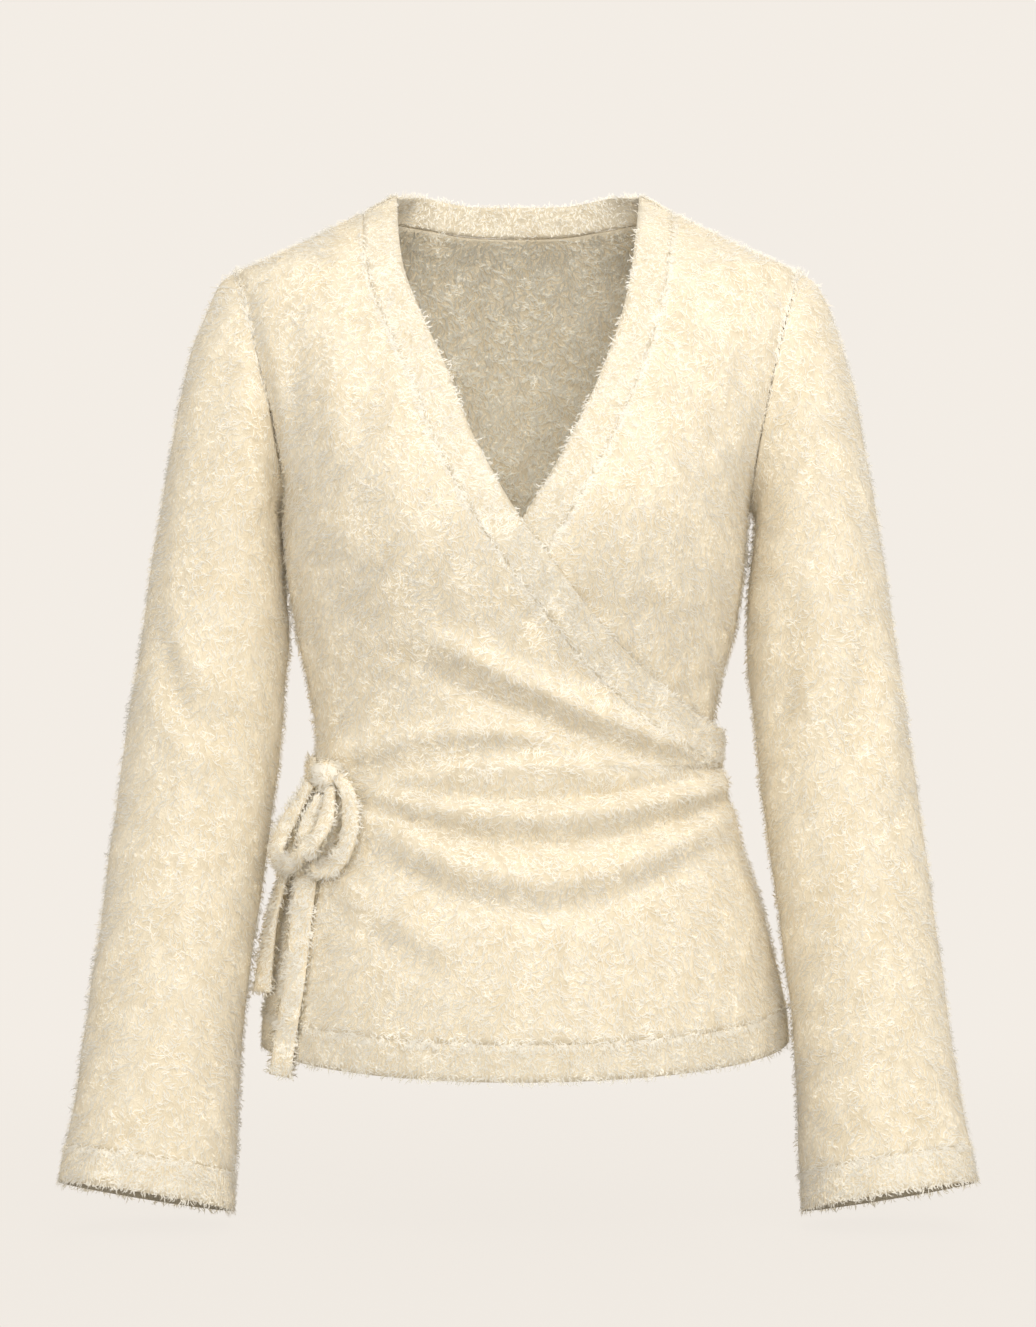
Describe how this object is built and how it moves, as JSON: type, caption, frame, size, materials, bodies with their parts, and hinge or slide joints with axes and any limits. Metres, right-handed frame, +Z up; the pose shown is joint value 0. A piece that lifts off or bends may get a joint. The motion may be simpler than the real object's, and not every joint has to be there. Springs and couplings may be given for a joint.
{
  "type": "wrap cardigan",
  "caption": "Long-sleeved wrap cardigan in pale long-pile knit, crossed over the front, with ribbed bands and a tie bow at the side of the waist",
  "frame": {"origin": "between the two points where the neck meets the shoulder line, where the garment is held up", "axes": "+Z up, the front faces -Y, +X is the wearer's left"},
  "size_m": [0.584, 0.2411, 0.6574],
  "materials": {
    "pile": "long soft pile knit",
    "rib": "ribbed knit with short pile",
    "strap": "soft pile knit strap"
  },
  "bodies": {
    "root": {"back": "pile", "hem_back": "rib", "neck_band_back": "rib", "front_under": "pile", "hem_under": "rib", "neck_band_under": "rib", "front_over": "pile", "hem_over": "rib", "neck_band_over": "rib", "sleeve_left": "pile", "cuff_left": "rib", "sleeve_right": "pile", "cuff_right": "rib", "tie_waist": "strap", "tie_under": "strap", "bow_knot": "strap", "bow_loop_outer": "strap", "bow_loop_inner": "strap", "bow_tail_front": "strap", "bow_tail_back": "strap"}
  },
  "joints": []
}
